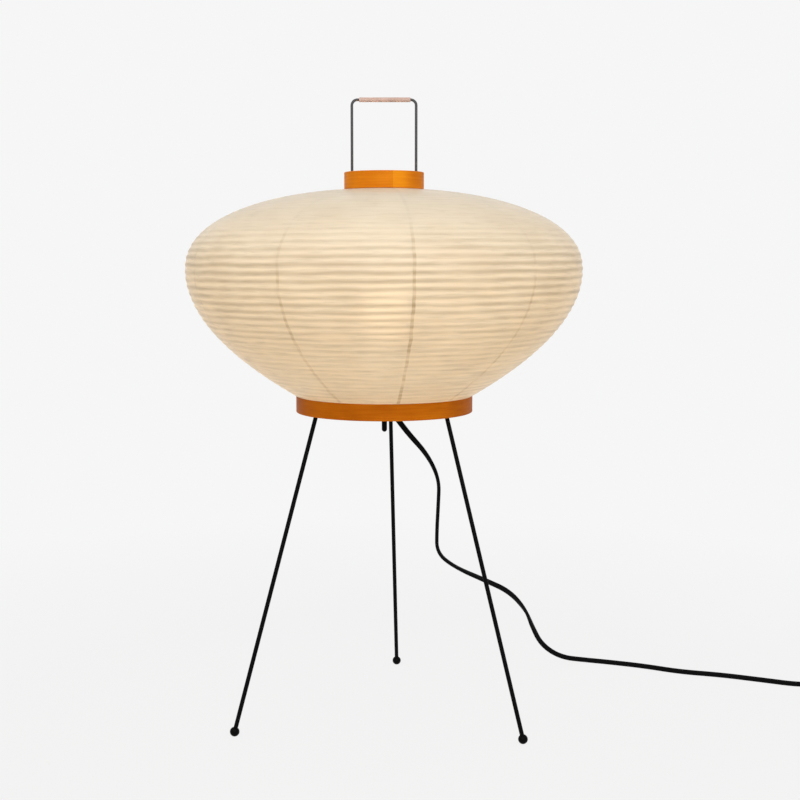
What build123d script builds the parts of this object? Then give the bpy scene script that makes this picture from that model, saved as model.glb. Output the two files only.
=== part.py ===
from build123d import *

import os
from math import acos, cos, dist, hypot, pi, radians, sin, sqrt, tan

# Floor lamp: folding paper lantern on a bent wood hoop and three rod legs.
# Millimetres. Lamp axis is Z, floor is z = 0, the seen front faces -Y.

# Clearances
weld_gap = 0.05
press_gap = 0.05
running_gap = 0.08
slide_gap = 0.3
hole_gap = 0.1

# Stand
stand_height = 398.2
foot_circle_radius = 206.9
leg_gather_radius = 94.0
leg_diameter = 5.4
tripod_turn = -4.2
foot_diameter = 12.0
foot_flat = 0.5
leg_below_foot_centre = 1.0
socket_diameter = 10.0
socket_start = 2.0
socket_length = 15.0
socket_floor = 2.5
grub_diameter = 3.0
grub_length = 3.0
grub_place = 4.0

# Bottom hoop and base plate
bottom_hoop_radius = 112.7
bottom_hoop_height = 20.7
bottom_hoop_wall = 4.0
hoop_edge = 0.8
plate_lift = 10.7
plate_thickness = 2.5
plate_rim = 9.5
arm_width = 18.0
tab_drop = 9.0
tab_screw_drop = 5.0
vent_circle_radius = 30.0
vent_diameter = 18.0
hoop_screw_diameter = 3.0
hoop_screw_head_diameter = 6.4
hoop_screw_head_height = 2.0
hoop_screw_bite = 2.4

# Paper shade
shade_diameter = 500.0
crown_rise = 101.4
crown_power = 2.208
belly_drop = 216.3
belly_power = 1.972
rib_spacing = 9.2
pleat_depth = 0.9
paper_wall = 0.4
hem_length = 6.0
panel_count = 10
panel_turn = -82.2
seam_gap_angle = 0.02

# Top hoop and wire guides
top_hoop_radius = 50.2
top_hoop_height = 21.25
top_hoop_wall = 3.0
guide_lift = 8.5
guide_pad_height = 10.0
guide_pad_width = 16.0
guide_pad_thickness = 1.6
guide_eye_wall = 1.3
guide_arm_width = 4.0
grommet_wall = 1.6
grommet_lip = 1.0
guide_screw_diameter = 2.0
guide_screw_head_diameter = 3.6
guide_screw_head_height = 1.2
guide_screw_bite = 1.6
guide_screw_side = 5.8

# Stretcher wire, handle grip and wire sockets
wire_diameter = 3.4
wire_half_span = 40.3
handle_height = 790.1
handle_corner_radius = 7.0
grip_length = 64.0
grip_shift = 1.0
grip_diameter = 5.8
wire_socket_wall = 2.25
wire_socket_height = 14.0
wire_socket_flange = 2.6
wire_socket_flange_height = 1.5
wire_socket_floor = 1.0
wire_spigot_diameter = 6.0

# Stem and lamp holder
stem_diameter = 6.8
stem_below_hoop = 27.2
stem_in_holder = 8.0
nut_across_flats = 11.0
nut_height = 5.0
holder_radius = 20.5
holder_foot_radius = 18.5
holder_wall = 3.0
holder_floor = 5.0
holder_base_height = 21.0
holder_spigot_height = 4.0
holder_shell_height = 43.0
holder_rim = 1.5
insert_height = 8.0
sleeve_wall = 0.6
sleeve_height = 27.0
contact_diameter = 7.0
contact_height = 1.6

# Bulb
bulb_diameter = 60.0
bulb_length = 106.0
bulb_glass_wall = 1.0
bulb_cap_diameter = 26.4
bulb_cap_wall = 1.2
bulb_cap_height = 22.0
bulb_tip_height = 1.5
bulb_insulator_height = 4.5
bulb_neck_seat = 9.0
bulb_shoulder_angle = 35.0

# Cord, outlet, switch, coil and plug
cord_diameter = 4.9
outlet_x = 1.0
outlet_y = 13.0
outlet_spigot_diameter = 10.0
outlet_flange_diameter = 13.6
outlet_flange_height = 1.6
outlet_root_diameter = 10.0
outlet_tip_diameter = 7.4
outlet_length = 27.0
outlet_bend_drop = 1.0
floor_gap = 0.15
cord_end_in_piece = 5.6
switch_length = 62.0
switch_width = 26.0
switch_corner = 8.0
switch_height = 19.6
switch_edge = 2.5
switch_x = 645.2
switch_y = 71.7
switch_heading = -21.0
channel_depth = 8.0
switch_screw_side = 18.0
switch_screw_diameter = 3.0
switch_screw_head_diameter = 5.6
switch_screw_head_height = 2.2
switch_screw_bite = 5.8
rocker_length = 17.6
rocker_width = 11.8
rocker_tilt = 8.0
rocker_end_height = 2.6
rocker_ridge_height = 4.4
rocker_heel_height = 1.0
rocker_belly_depth = 3.0
rocker_drop = 3.6
trunnion_diameter = 3.0
trunnion_length = 15.9
coil_radius = 40.0
coil_step = 2.8
coil_lower_height = 3.7
coil_layer_step = 6.4
lead_straight = 5.0
lead_bend_radius = 34.0
lead_run = 29.0
tail_straight = 22.0
tail_rise_length = 28.0
tie_width = 5.0
tie_thickness = 0.8
tie_gap = 0.3
plug_length = 36.0
plug_width = 35.0
plug_thickness = 13.7
plug_neck_width = 11.0
plug_edge = 2.0
plug_relief_length = 24.0
plug_relief_root_diameter = 10.0
plug_relief_tip_diameter = 7.4
pin_diameter = 4.0
pin_length = 19.0
pin_spacing = 18.6
pin_in_plug = 8.0

os.makedirs("parts", exist_ok=True)


def polar(radius, angle, height=0.0):
    return (radius * cos(radians(angle)), radius * sin(radians(angle)), height)


# Leg lines
leg_angles = [-150.0 + tripod_turn, -30.0 + tripod_turn, 90.0 + tripod_turn]
leg_names = ["leg_front_left", "leg_front_right", "leg_back"]
foot_centre_height = foot_diameter / 2 - foot_flat
leg_run = foot_circle_radius - leg_gather_radius
leg_rise = stand_height - foot_centre_height
leg_span = hypot(leg_run, leg_rise)


def on_leg(angle, along):
    reach = leg_gather_radius - along * leg_run / leg_span
    return polar(reach, angle, stand_height + along * leg_rise / leg_span)


def leg_plane(angle, along):
    up = polar(-leg_run / leg_span, angle, leg_rise / leg_span)
    side = polar(1.0, angle + 90)
    return Plane(origin=on_leg(angle, along), x_dir=side, z_dir=up)


def radial_plane(radius, angle, height):
    side = polar(1.0, angle + 90)
    return Plane(origin=polar(radius, angle, height), x_dir=side, z_dir=polar(1.0, angle))


def meridian_plane(angle):
    return Plane(origin=(0, 0, 0), x_dir=polar(1.0, angle), z_dir=polar(1.0, angle - 90))


leg_top = socket_start + socket_length - socket_floor - press_gap
leg_bottom = -leg_span - leg_below_foot_centre
for leg_name, leg_angle in zip(leg_names, leg_angles):
    with BuildPart() as leg:
        with BuildSketch(leg_plane(leg_angle, leg_bottom)):
            Circle(leg_diameter / 2)
        extrude(amount=leg_top - leg_bottom)
    leg.part.label = leg_name
    export_step(leg.part, "parts/" + leg_name + ".step")

with BuildPart() as ball_feet:
    with PolarLocations(foot_circle_radius, 3, start_angle=leg_angles[0]):
        with Locations((0, 0, foot_centre_height)):
            Sphere(foot_diameter / 2)
    with Locations((0, 0, -foot_diameter / 2)):
        Box(4 * foot_circle_radius, 4 * foot_circle_radius, foot_diameter, mode=Mode.SUBTRACT)
    for leg_angle in leg_angles:
        with BuildSketch(leg_plane(leg_angle, leg_bottom - press_gap)):
            Circle(leg_diameter / 2 + press_gap)
        extrude(amount=foot_diameter, mode=Mode.SUBTRACT)
ball_feet.part.label = "ball_feet"
export_step(ball_feet.part, "parts/ball_feet.step")

# Leg sockets with their grub screws
lean = acos(leg_rise / leg_span)


def grub_plane(angle):
    inward = polar(-cos(lean), angle, -sin(lean))
    side = polar(1.0, angle + 90)
    return Plane(origin=on_leg(angle, socket_start + grub_place), x_dir=side, z_dir=inward)


with BuildPart() as leg_sockets:
    for leg_angle in leg_angles:
        with BuildSketch(leg_plane(leg_angle, socket_start)):
            Circle(socket_diameter / 2)
        extrude(amount=socket_length)
        with BuildSketch(leg_plane(leg_angle, socket_start)):
            Circle(leg_diameter / 2 + press_gap)
        extrude(amount=socket_length - socket_floor, mode=Mode.SUBTRACT)
        with BuildSketch(grub_plane(leg_angle)):
            Circle(grub_diameter / 2 + press_gap)
        extrude(amount=socket_diameter, mode=Mode.SUBTRACT)
leg_sockets.part.label = "leg_sockets"
export_step(leg_sockets.part, "parts/leg_sockets.step")

with BuildPart() as leg_grub_screws:
    for leg_angle in leg_angles:
        with BuildSketch(grub_plane(leg_angle).offset(leg_diameter / 2 + press_gap)):
            Circle(grub_diameter / 2)
        extrude(amount=grub_length)
leg_grub_screws.part.label = "leg_grub_screws"
export_step(leg_grub_screws.part, "parts/leg_grub_screws.step")

# Bottom hoop, base plate and the screws between them
plate_bottom = stand_height + plate_lift
plate_top = plate_bottom + plate_thickness
hoop_bore = bottom_hoop_radius - bottom_hoop_wall
tab_face = sqrt((hoop_bore - hole_gap) ** 2 - (arm_width / 2) ** 2)
tab_back = tab_face - plate_thickness
screw_height = plate_bottom - tab_screw_drop

with BuildPart() as bottom_hoop:
    with BuildSketch(Plane.XY.offset(stand_height)):
        Circle(bottom_hoop_radius)
        Circle(hoop_bore, mode=Mode.SUBTRACT)
    extrude(amount=bottom_hoop_height)
    fillet(bottom_hoop.edges().filter_by(GeomType.CIRCLE), hoop_edge)
    for leg_angle in leg_angles:
        with BuildSketch(radial_plane(tab_face, leg_angle, screw_height)):
            Circle(hoop_screw_diameter / 2 + press_gap)
        extrude(amount=hoop_bore + hoop_screw_bite + press_gap - tab_face, mode=Mode.SUBTRACT)
bottom_hoop.part.label = "bottom_hoop"
export_step(bottom_hoop.part, "parts/bottom_hoop.step")

with BuildPart() as hoop_screws:
    for leg_angle in leg_angles:
        with BuildSketch(radial_plane(tab_back - hoop_screw_head_height, leg_angle, screw_height)):
            Circle(hoop_screw_head_diameter / 2)
        extrude(amount=hoop_screw_head_height)
        with BuildSketch(radial_plane(tab_back, leg_angle, screw_height)):
            Circle(hoop_screw_diameter / 2)
        extrude(amount=hoop_bore + hoop_screw_bite - tab_back)
hoop_screws.part.label = "hoop_screws"
export_step(hoop_screws.part, "parts/hoop_screws.step")

with BuildPart() as base_plate:
    with BuildSketch(Plane.XY.offset(plate_bottom)):
        Circle(wire_half_span + plate_rim)
        with PolarLocations(tab_face / 2, 3, start_angle=leg_angles[0]):
            Rectangle(tab_face, arm_width)
        Circle(stem_diameter / 2 + hole_gap, mode=Mode.SUBTRACT)
        with Locations((-wire_half_span, 0), (wire_half_span, 0)):
            Circle(wire_spigot_diameter / 2 + press_gap, mode=Mode.SUBTRACT)
        with Locations((outlet_x, outlet_y)):
            Circle(outlet_spigot_diameter / 2 + press_gap, mode=Mode.SUBTRACT)
        with PolarLocations(vent_circle_radius, 3, start_angle=leg_angles[0] + 60):
            Circle(vent_diameter / 2, mode=Mode.SUBTRACT)
    extrude(amount=plate_thickness)
    with BuildSketch(Plane.XY.offset(plate_bottom - tab_drop)):
        with PolarLocations(tab_face - plate_thickness / 2, 3, start_angle=leg_angles[0]):
            Rectangle(plate_thickness, arm_width)
    extrude(amount=tab_drop + plate_thickness)
    for leg_angle in leg_angles:
        with BuildSketch(leg_plane(leg_angle, socket_start)):
            Circle(socket_diameter / 2 + weld_gap)
        extrude(amount=socket_length, mode=Mode.SUBTRACT)
        with BuildSketch(radial_plane(tab_back - plate_thickness, leg_angle, screw_height)):
            Circle(hoop_screw_diameter / 2 + hole_gap)
        extrude(amount=3 * plate_thickness, mode=Mode.SUBTRACT)
base_plate.part.label = "base_plate"
export_step(base_plate.part, "parts/base_plate.step")

# Paper shade: the meridian, one ridge for each rib
shade_radius = shade_diameter / 2
shade_foot = stand_height + bottom_hoop_height + press_gap


def belly_depth(radius):
    return belly_drop * (1 - radius / shade_radius) ** (1 / belly_power)


def crown_height(radius):
    return crown_rise * (1 - (radius / shade_radius) ** crown_power) ** (1 / crown_power)


equator_height = shade_foot + belly_depth(bottom_hoop_radius)
shade_head = equator_height + crown_height(top_hoop_radius)
top_hoop_base = shade_head + slide_gap

meridian = []
fine_steps = 400
for step in range(fine_steps + 1):
    swing = sin(pi / 2 * step / fine_steps)
    radius = bottom_hoop_radius + (shade_radius - bottom_hoop_radius) * swing
    meridian.append((radius, equator_height - belly_depth(radius)))
for step in range(fine_steps - 1, -1, -1):
    swing = sin(pi / 2 * step / fine_steps)
    radius = top_hoop_radius + (shade_radius - top_hoop_radius) * swing
    meridian.append((radius, equator_height + crown_height(radius)))
lengths = [0.0]
for before, after in zip(meridian, meridian[1:]):
    lengths.append(lengths[-1] + dist(before, after))
rib_count = round(lengths[-1] / rib_spacing)


def meridian_point(share, inset):
    wanted = share * lengths[-1]
    index = 1
    while lengths[index] < wanted and index < len(lengths) - 1:
        index += 1
    low = meridian[index - 1]
    high = meridian[index]
    part_way = (wanted - lengths[index - 1]) / (lengths[index] - lengths[index - 1])
    along_r = (high[0] - low[0]) / dist(low, high)
    along_z = (high[1] - low[1]) / dist(low, high)
    radius = low[0] + part_way * (high[0] - low[0])
    height = low[1] + part_way * (high[1] - low[1])
    return (radius - inset * along_z, height + inset * along_r)


paper_depth = pleat_depth + paper_wall
lower_hem_radius = hoop_bore - press_gap
upper_hem_radius = top_hoop_radius - top_hoop_wall - slide_gap
outer_line = []
for rib in range(rib_count):
    outer_line.append(meridian_point(rib / rib_count, 0.0))
    outer_line.append(meridian_point((rib + 0.5) / rib_count, pleat_depth))
outer_line.append(meridian_point(1.0, 0.0))
inner_line = []
for rib in range(rib_count - 2, 1, -2):
    inner_line.append(meridian_point(rib / rib_count, paper_depth))
lower_hem = [
    (lower_hem_radius - paper_wall, shade_foot + paper_depth),
    (lower_hem_radius - paper_wall, shade_foot - hem_length),
    (lower_hem_radius, shade_foot - hem_length),
    (lower_hem_radius, shade_foot),
]
upper_hem = [
    (upper_hem_radius, shade_head),
    (upper_hem_radius, shade_head + hem_length),
    (upper_hem_radius - paper_wall, shade_head + hem_length),
    (upper_hem_radius - paper_wall, shade_head - paper_depth),
]
panel_outline = lower_hem + outer_line + upper_hem + inner_line
panel_angle = 360.0 / panel_count
for panel in range(panel_count):
    with BuildPart() as paper_panel:
        with BuildSketch(meridian_plane(panel_turn + panel * panel_angle + seam_gap_angle / 2)):
            with BuildLine():
                Polyline(*panel_outline, close=True)
            make_face()
        revolve(axis=Axis.Z, revolution_arc=panel_angle - seam_gap_angle)
    panel_name = "paper_panel_%02d" % (panel + 1)
    paper_panel.part.label = panel_name
    export_step(paper_panel.part, "parts/" + panel_name + ".step")

# Top hoop with its wire guides, grommets and screws
top_hoop_bore = top_hoop_radius - top_hoop_wall
guide_base = top_hoop_base + guide_lift
guide_middle = guide_base + guide_pad_height / 2
pad_face = top_hoop_bore - press_gap
pad_back = pad_face - guide_pad_thickness
grommet_bore_radius = wire_diameter / 2 + running_gap
grommet_radius = grommet_bore_radius + grommet_wall
eye_bore_radius = grommet_radius + press_gap
eye_radius = eye_bore_radius + guide_eye_wall
eye_base = guide_base + grommet_lip
eye_height = guide_pad_height - 2 * grommet_lip
screw_reach = sqrt(pad_back ** 2 - (guide_screw_side + guide_screw_head_diameter / 2) ** 2)
screw_places = [(side, offset) for side in (-1, 1) for offset in (-guide_screw_side, guide_screw_side)]


def guide_screw_plane(side, offset, reach):
    return Plane(origin=(side * reach, offset, guide_middle), x_dir=(0, 1, 0), z_dir=(side, 0, 0))


screw_tip = sqrt(top_hoop_bore ** 2 - guide_screw_side ** 2) + guide_screw_bite

with BuildPart() as top_hoop:
    with BuildSketch(Plane.XY.offset(top_hoop_base)):
        Circle(top_hoop_radius)
        Circle(top_hoop_bore, mode=Mode.SUBTRACT)
    extrude(amount=top_hoop_height)
    fillet(top_hoop.edges().filter_by(GeomType.CIRCLE), hoop_edge)
    for side, offset in screw_places:
        with BuildSketch(guide_screw_plane(side, offset, screw_reach)):
            Circle(guide_screw_diameter / 2 + press_gap)
        extrude(amount=screw_tip + press_gap - screw_reach, mode=Mode.SUBTRACT)
top_hoop.part.label = "top_hoop"
export_step(top_hoop.part, "parts/top_hoop.step")

with BuildPart() as wire_guides:
    with BuildSketch(Plane.XY.offset(guide_base)):
        Circle(pad_face)
        Circle(pad_back, mode=Mode.SUBTRACT)
        Rectangle(4 * pad_face, guide_pad_width, mode=Mode.INTERSECT)
    extrude(amount=guide_pad_height)
    with BuildSketch(Plane.XY.offset(eye_base)):
        with Locations((-wire_half_span, 0), (wire_half_span, 0)):
            Circle(eye_radius)
        arm_reach = pad_back + guide_pad_thickness / 2 - wire_half_span
        with Locations((-wire_half_span - arm_reach / 2, 0), (wire_half_span + arm_reach / 2, 0)):
            Rectangle(arm_reach, guide_arm_width)
        with Locations((-wire_half_span, 0), (wire_half_span, 0)):
            Circle(eye_bore_radius, mode=Mode.SUBTRACT)
    extrude(amount=eye_height)
    for side, offset in screw_places:
        with BuildSketch(guide_screw_plane(side, offset, screw_reach)):
            Circle(guide_screw_diameter / 2 + press_gap)
        extrude(amount=screw_tip - screw_reach, mode=Mode.SUBTRACT)
wire_guides.part.label = "wire_guides"
export_step(wire_guides.part, "parts/wire_guides.step")

with BuildPart() as guide_grommets:
    with BuildSketch(Plane.XY.offset(eye_base - grommet_lip)):
        with Locations((-wire_half_span, 0), (wire_half_span, 0)):
            Circle(eye_bore_radius + guide_eye_wall / 2)
            Circle(grommet_bore_radius, mode=Mode.SUBTRACT)
    extrude(amount=grommet_lip - press_gap)
    with BuildSketch(Plane.XY.offset(eye_base - grommet_lip)):
        with Locations((-wire_half_span, 0), (wire_half_span, 0)):
            Circle(grommet_radius)
            Circle(grommet_bore_radius, mode=Mode.SUBTRACT)
    extrude(amount=eye_height + 2 * grommet_lip)
    with BuildSketch(Plane.XY.offset(eye_base + eye_height + press_gap)):
        with Locations((-wire_half_span, 0), (wire_half_span, 0)):
            Circle(eye_bore_radius + guide_eye_wall / 2)
            Circle(grommet_bore_radius, mode=Mode.SUBTRACT)
    extrude(amount=grommet_lip - press_gap)
guide_grommets.part.label = "guide_grommets"
export_step(guide_grommets.part, "parts/guide_grommets.step")

with BuildPart() as guide_screws:
    for side, offset in screw_places:
        with BuildSketch(guide_screw_plane(side, offset, screw_reach - guide_screw_head_height)):
            Circle(guide_screw_head_diameter / 2)
        extrude(amount=guide_screw_head_height)
        with BuildSketch(guide_screw_plane(side, offset, screw_reach)):
            Circle(guide_screw_diameter / 2)
        extrude(amount=screw_tip - screw_reach)
guide_screws.part.label = "guide_screws"
export_step(guide_screws.part, "parts/guide_screws.step")

# Stretcher wire, its sockets and the handle grip
wire_foot = plate_top + wire_socket_floor
with BuildPart() as stretcher_wire:
    with BuildLine() as stretcher_path:
        FilletPolyline(
            (-wire_half_span, 0, wire_foot),
            (-wire_half_span, 0, handle_height),
            (wire_half_span, 0, handle_height),
            (wire_half_span, 0, wire_foot),
            radius=handle_corner_radius,
        )
    with BuildSketch(Plane(origin=(-wire_half_span, 0, wire_foot), z_dir=(0, 0, 1))):
        Circle(wire_diameter / 2)
    sweep(path=stretcher_path.wires()[0])
stretcher_wire.part.label = "stretcher_wire"
export_step(stretcher_wire.part, "parts/stretcher_wire.step")

wire_socket_radius = wire_diameter / 2 + wire_socket_wall
with BuildPart() as wire_sockets:
    with BuildSketch(Plane.XY.offset(plate_top)):
        with Locations((-wire_half_span, 0), (wire_half_span, 0)):
            Circle(wire_socket_radius + wire_socket_flange)
    extrude(amount=wire_socket_flange_height)
    with BuildSketch(Plane.XY.offset(plate_top)):
        with Locations((-wire_half_span, 0), (wire_half_span, 0)):
            Circle(wire_socket_radius)
    extrude(amount=wire_socket_height)
    with BuildSketch(Plane.XY.offset(plate_bottom)):
        with Locations((-wire_half_span, 0), (wire_half_span, 0)):
            Circle(wire_spigot_diameter / 2)
    extrude(amount=plate_thickness)
    with BuildSketch(Plane.XY.offset(wire_foot - press_gap)):
        with Locations((-wire_half_span, 0), (wire_half_span, 0)):
            Circle(wire_diameter / 2 + press_gap)
    extrude(amount=wire_socket_height, mode=Mode.SUBTRACT)
wire_sockets.part.label = "wire_sockets"
export_step(wire_sockets.part, "parts/wire_sockets.step")

grip_end = grip_shift - grip_length / 2
with BuildPart() as handle_grip:
    with BuildSketch(Plane(origin=(grip_end, 0, handle_height), x_dir=(0, 1, 0), z_dir=(1, 0, 0))):
        Circle(grip_diameter / 2)
        Circle(wire_diameter / 2 + press_gap, mode=Mode.SUBTRACT)
    extrude(amount=grip_length)
handle_grip.part.label = "handle_grip"
export_step(handle_grip.part, "parts/handle_grip.step")

# Stem with its nuts
holder_base_z = plate_top + nut_height
stem_end = stand_height - stem_below_hoop
stem_radius = stem_diameter / 2
with BuildPart() as lamp_stem:
    with BuildSketch(Plane.XY.offset(stem_end + stem_radius)):
        Circle(stem_radius)
    extrude(amount=holder_base_z + stem_in_holder - stem_end - stem_radius)
    with Locations((0, 0, stem_end + stem_radius)):
        Sphere(stem_radius)
lamp_stem.part.label = "lamp_stem"
export_step(lamp_stem.part, "parts/lamp_stem.step")

with BuildPart() as stem_nuts:
    for nut_z in (plate_bottom - nut_height, plate_top):
        with BuildSketch(Plane.XY.offset(nut_z)):
            RegularPolygon(nut_across_flats / 2, 6, major_radius=False)
            Circle(stem_radius + press_gap, mode=Mode.SUBTRACT)
        extrude(amount=nut_height)
stem_nuts.part.label = "stem_nuts"
export_step(stem_nuts.part, "parts/stem_nuts.step")

# Lamp holder
cup_rim = holder_base_z + holder_base_height
spigot_top = cup_rim + holder_spigot_height
cup_bore = holder_radius - holder_wall
spigot_radius = cup_bore + 0.4 * holder_wall
cord_radius = cord_diameter / 2
with BuildPart() as holder_cup:
    with BuildSketch(Plane.XZ):
        with BuildLine():
            Polyline(
                (stem_radius + press_gap, holder_base_z),
                (holder_foot_radius, holder_base_z),
                (holder_radius, holder_base_z + holder_floor),
                (holder_radius, cup_rim),
                (spigot_radius, cup_rim),
                (spigot_radius, spigot_top),
                (cup_bore, spigot_top),
                (cup_bore, holder_base_z + holder_floor),
                (stem_radius + press_gap, holder_base_z + holder_floor),
                close=True,
            )
        make_face()
    revolve(axis=Axis.Z)
    with BuildSketch(Plane.XY.offset(holder_base_z)):
        with Locations((outlet_x, outlet_y)):
            Circle(cord_radius + slide_gap)
    extrude(amount=holder_floor, mode=Mode.SUBTRACT)
holder_cup.part.label = "holder_cup"
export_step(holder_cup.part, "parts/holder_cup.step")

shell_bore = spigot_radius + press_gap
shell_top = cup_rim + holder_shell_height
with BuildPart() as holder_shell:
    with BuildSketch(Plane.XZ):
        with BuildLine():
            Polyline(
                (shell_bore, cup_rim),
                (holder_radius, cup_rim),
                (holder_radius, shell_top - 5 * holder_rim),
                (holder_radius + holder_rim, shell_top - 4 * holder_rim),
                (holder_radius + holder_rim, shell_top),
                (shell_bore, shell_top),
                close=True,
            )
        make_face()
    revolve(axis=Axis.Z)
holder_shell.part.label = "holder_shell"
export_step(holder_shell.part, "parts/holder_shell.step")

insert_top = spigot_top + insert_height
with BuildPart() as holder_insert:
    with BuildSketch(Plane.XY.offset(spigot_top)):
        Circle(shell_bore - press_gap)
    extrude(amount=insert_height)
holder_insert.part.label = "holder_insert"
export_step(holder_insert.part, "parts/holder_insert.step")

cap_radius = bulb_cap_diameter / 2
with BuildPart() as screw_sleeve:
    with BuildSketch(Plane.XY.offset(insert_top)):
        Circle(cap_radius + slide_gap + sleeve_wall)
        Circle(cap_radius + slide_gap, mode=Mode.SUBTRACT)
    extrude(amount=sleeve_height)
screw_sleeve.part.label = "screw_sleeve"
export_step(screw_sleeve.part, "parts/screw_sleeve.step")

with BuildPart() as centre_contact:
    with BuildSketch(Plane.XY.offset(insert_top)):
        Circle(contact_diameter / 2)
    extrude(amount=contact_height)
centre_contact.part.label = "centre_contact"
export_step(centre_contact.part, "parts/centre_contact.step")

# Bulb: tip and insulator, screw cap, glass
bulb_tip = insert_top + contact_height + slide_gap
cap_bottom = bulb_tip + bulb_tip_height + bulb_insulator_height
cap_bore = cap_radius - bulb_cap_wall
tip_radius = contact_diameter / 2
with BuildPart() as bulb_insulator:
    with BuildSketch(Plane.XZ):
        with BuildLine():
            Polyline(
                (0, bulb_tip),
                (tip_radius, bulb_tip),
                (tip_radius, bulb_tip + bulb_tip_height),
                (cap_bore - press_gap, cap_bottom),
                (cap_bore - press_gap, cap_bottom + bulb_insulator_height),
                (0, cap_bottom + bulb_insulator_height),
                close=True,
            )
        make_face()
    revolve(axis=Axis.Z)
bulb_insulator.part.label = "bulb_insulator"
export_step(bulb_insulator.part, "parts/bulb_insulator.step")

cap_top = cap_bottom + bulb_cap_height
with BuildPart() as bulb_cap:
    with BuildSketch(Plane.XZ):
        with BuildLine():
            Polyline(
                (cap_bore, cap_bottom),
                (cap_radius, cap_bottom + bulb_cap_wall),
                (cap_radius, cap_top),
                (cap_bore, cap_top),
                close=True,
            )
        make_face()
    revolve(axis=Axis.Z)
bulb_cap.part.label = "bulb_cap"
export_step(bulb_cap.part, "parts/bulb_cap.step")

globe_radius = bulb_diameter / 2
globe_height = bulb_tip + bulb_length - globe_radius
shoulder = radians(bulb_shoulder_angle)
neck_radius = cap_bore - press_gap
neck_bottom = cap_top - bulb_neck_seat
neck_inner = neck_radius - bulb_glass_wall
globe_inner = globe_radius - bulb_glass_wall
with BuildPart() as bulb_glass:
    with BuildSketch(Plane.XZ):
        with BuildLine():
            Line((neck_inner, neck_bottom), (neck_radius, neck_bottom))
            Line((neck_radius, neck_bottom), (neck_radius, cap_top))
            Spline(
                (neck_radius, cap_top),
                (globe_radius * cos(shoulder), globe_height - globe_radius * sin(shoulder)),
                tangents=((0, 1), (sin(shoulder), cos(shoulder))),
            )
            ThreePointArc(
                (globe_radius * cos(shoulder), globe_height - globe_radius * sin(shoulder)),
                (globe_radius * cos(shoulder / 2), globe_height + globe_radius * sin(shoulder / 2)),
                (0, globe_height + globe_radius),
            )
            Line((0, globe_height + globe_radius), (0, globe_height + globe_inner))
            ThreePointArc(
                (0, globe_height + globe_inner),
                (globe_inner * cos(shoulder / 2), globe_height + globe_inner * sin(shoulder / 2)),
                (globe_inner * cos(shoulder), globe_height - globe_inner * sin(shoulder)),
            )
            Spline(
                (globe_inner * cos(shoulder), globe_height - globe_inner * sin(shoulder)),
                (neck_inner, cap_top),
                tangents=((-sin(shoulder), -cos(shoulder)), (0, -1)),
            )
            Line((neck_inner, cap_top), (neck_inner, neck_bottom))
        make_face()
    revolve(axis=Axis.Z)
bulb_glass.part.label = "bulb_glass"
export_step(bulb_glass.part, "parts/bulb_glass.step")

# Cord route: from the holder cup, out under the plate, down to the floor and along it
floor_z = cord_radius + floor_gap
upper_z = coil_lower_height + coil_layer_step
heading = polar(1.0, switch_heading)
bend_z = plate_bottom - outlet_bend_drop
entry_back = switch_length / 2 - cord_end_in_piece
entry_front = switch_length / 2 + 2.2 * cord_diameter
hang = [
    (27.4, 18.0, 0.907),
    (56.0, 24.0, 0.828),
    (71.6, 32.0, 0.7445),
    (70.9, 42.0, 0.6643),
    (69.3, 55.0, 0.5655),
    (69.6, 67.0, 0.4832),
    (95.1, 86.0, 0.4242),
    (137.7, 110.0, 0.3655),
    (174.0, 136.0, 0.311),
    (199.7, 160.0, 0.2288),
    (210.1, 176.0, 0.1606),
    (225.8, 192.0, 0.081),
    (255.4, 203.0, 0.0275),
]
floor_run = [
    (292.4, 214.5),
    (327.5, 203.0),
    (375.5, 184.0),
    (420.8, 157.8),
    (474.8, 143.6),
    (525.8, 121.5),
    (577.0, 98.0),
]
cord_points = [(outlet_x, outlet_y, cup_rim - holder_floor), (outlet_x, outlet_y, bend_z)]
cord_points += [(x, y, share * bend_z) for x, y, share in hang]
cord_points += [(x, y, floor_z) for x, y in floor_run]
cord_points += [(switch_x - entry_front * heading[0], switch_y - entry_front * heading[1], upper_z)]
cord_points += [(switch_x - entry_back * heading[0], switch_y - entry_back * heading[1], upper_z)]


def corner_radii(points):
    radii = []
    for before, corner, after in zip(points, points[1:], points[2:]):
        run_in = dist(before, corner)
        run_out = dist(corner, after)
        turn_cos = sum((c - b) * (a - c) for b, c, a in zip(before, corner, after)) / (run_in * run_out)
        half_turn = acos(max(-1.0, min(1.0, turn_cos))) / 2
        radii.append(0.45 * min(run_in, run_out) / tan(half_turn))
    return radii


cord_radii = corner_radii(cord_points)
with BuildPart() as cord_run:
    with BuildLine() as cord_path:
        FilletPolyline(*cord_points, radius=cord_radii)
    with BuildSketch(Plane(origin=cord_points[0], z_dir=(0, 0, -1))):
        Circle(cord_radius)
    sweep(path=cord_path.wires()[0])
cord_run.part.label = "cord_run"
export_step(cord_run.part, "parts/cord_run.step")
cord_run_length = cord_path.wires()[0].length

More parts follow.
